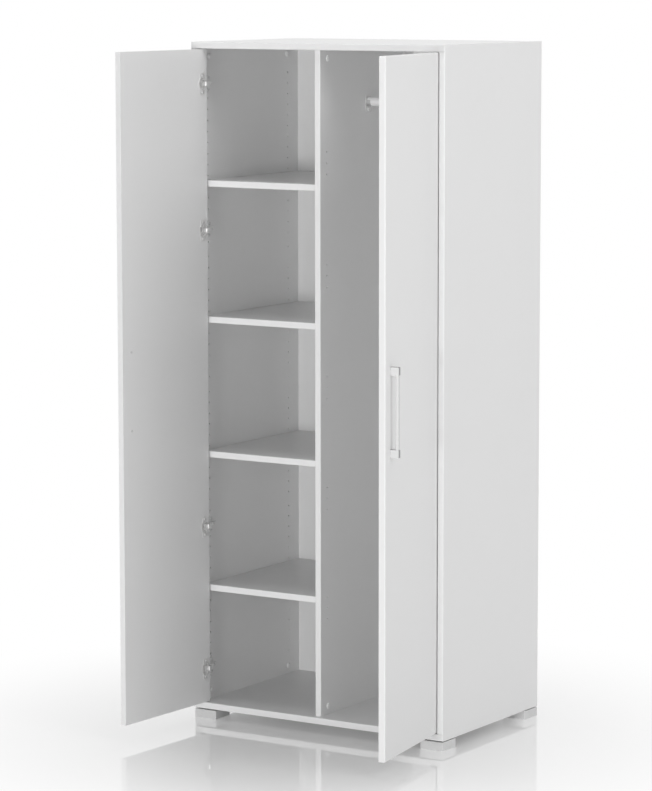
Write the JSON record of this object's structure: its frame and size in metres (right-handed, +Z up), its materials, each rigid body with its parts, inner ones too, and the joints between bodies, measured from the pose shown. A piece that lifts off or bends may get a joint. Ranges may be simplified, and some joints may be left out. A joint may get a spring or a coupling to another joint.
{
  "type": "cupboard",
  "caption": "Tall white cupboard on low square feet, with inset swing doors on cup hinges, shelves in one half and a hanging rail in the other.",
  "frame": {"origin": "on the floor, below the middle of the box that the part fills with its doors open as it rests", "axes": "+Z up, -Y out of the front, +X to the right as seen from the front"},
  "size_m": [0.9208, 0.9324, 1.978],
  "materials": {
    "white_board": "smooth white melamine on chipboard",
    "back_board": "smooth white melamine on thin board",
    "nickel_steel": "bright nickel plate",
    "screw_steel": "zinc plate",
    "cam_zinc": "die-cast zinc",
    "beech": "plain turned beech",
    "rail_lacquer": "satin silver-white lacquer on steel tube",
    "holder_zinc": "satin die-cast zinc",
    "foot_plastic": "satin light grey plastic",
    "spacer_plastic": "matt black plastic",
    "handle_metal": "satin silver finish"
  },
  "bodies": {
    "carcass": {"top_panel": "white_board", "bottom_panel": "white_board", "left_side": "white_board", "right_side": "white_board", "divider": "white_board", "back_panel": "back_board", "shelf_1": "white_board", "shelf_2": "white_board", "shelf_3": "white_board", "shelf_4": "white_board", "shelf_pins": "nickel_steel", "cam_discs": "cam_zinc", "cam_bolts": "nickel_steel", "dowels": "beech", "hanging_rail": "rail_lacquer", "left_rail_holder": "holder_zinc", "right_rail_holder": "holder_zinc", "rail_holder_screws": "screw_steel", "front_left_foot": "foot_plastic", "front_right_foot": "foot_plastic", "rear_left_foot": "foot_plastic", "rear_right_foot": "foot_plastic", "foot_spacers": "spacer_plastic", "foot_screws": "screw_steel", "left_hinge_plates": "nickel_steel", "left_plate_screws": "screw_steel", "left_arm_screws": "screw_steel", "left_hinge_arm_1": "nickel_steel", "left_hinge_arm_2": "nickel_steel", "left_hinge_arm_3": "nickel_steel", "left_hinge_arm_4": "nickel_steel", "right_hinge_plates": "nickel_steel", "right_plate_screws": "screw_steel", "right_arm_screws": "screw_steel", "right_hinge_arm_1": "nickel_steel", "right_hinge_arm_2": "nickel_steel", "right_hinge_arm_3": "nickel_steel", "right_hinge_arm_4": "nickel_steel"},
    "left_door": {"left_door": "white_board", "left_hinge_cup_1": "nickel_steel", "left_hinge_cup_2": "nickel_steel", "left_hinge_cup_3": "nickel_steel", "left_hinge_cup_4": "nickel_steel", "left_hinge_pins": "screw_steel", "left_cup_screws": "screw_steel", "left_handle_bar": "handle_metal", "left_handle_posts": "handle_metal", "left_handle_screws": "screw_steel"},
    "right_door": {"right_door": "white_board", "right_hinge_cup_1": "nickel_steel", "right_hinge_cup_2": "nickel_steel", "right_hinge_cup_3": "nickel_steel", "right_hinge_cup_4": "nickel_steel", "right_hinge_pins": "screw_steel", "right_cup_screws": "screw_steel", "right_handle_bar": "handle_metal", "right_handle_posts": "handle_metal", "right_handle_screws": "screw_steel"}
  },
  "joints": [
    {"name": "left_door_swing", "type": "hinge", "parent": "carcass", "child": "left_door", "pos_m": [-0.41142, -0.0764, 0.9935], "axis": [0, 0, -1], "range_deg": [-92.5, 12.5]},
    {"name": "right_door_swing", "type": "hinge", "parent": "carcass", "child": "right_door", "pos_m": [0.37142, -0.0764, 0.9935], "axis": [0, 0, 1], "range_deg": [-99, 6]}
  ]
}
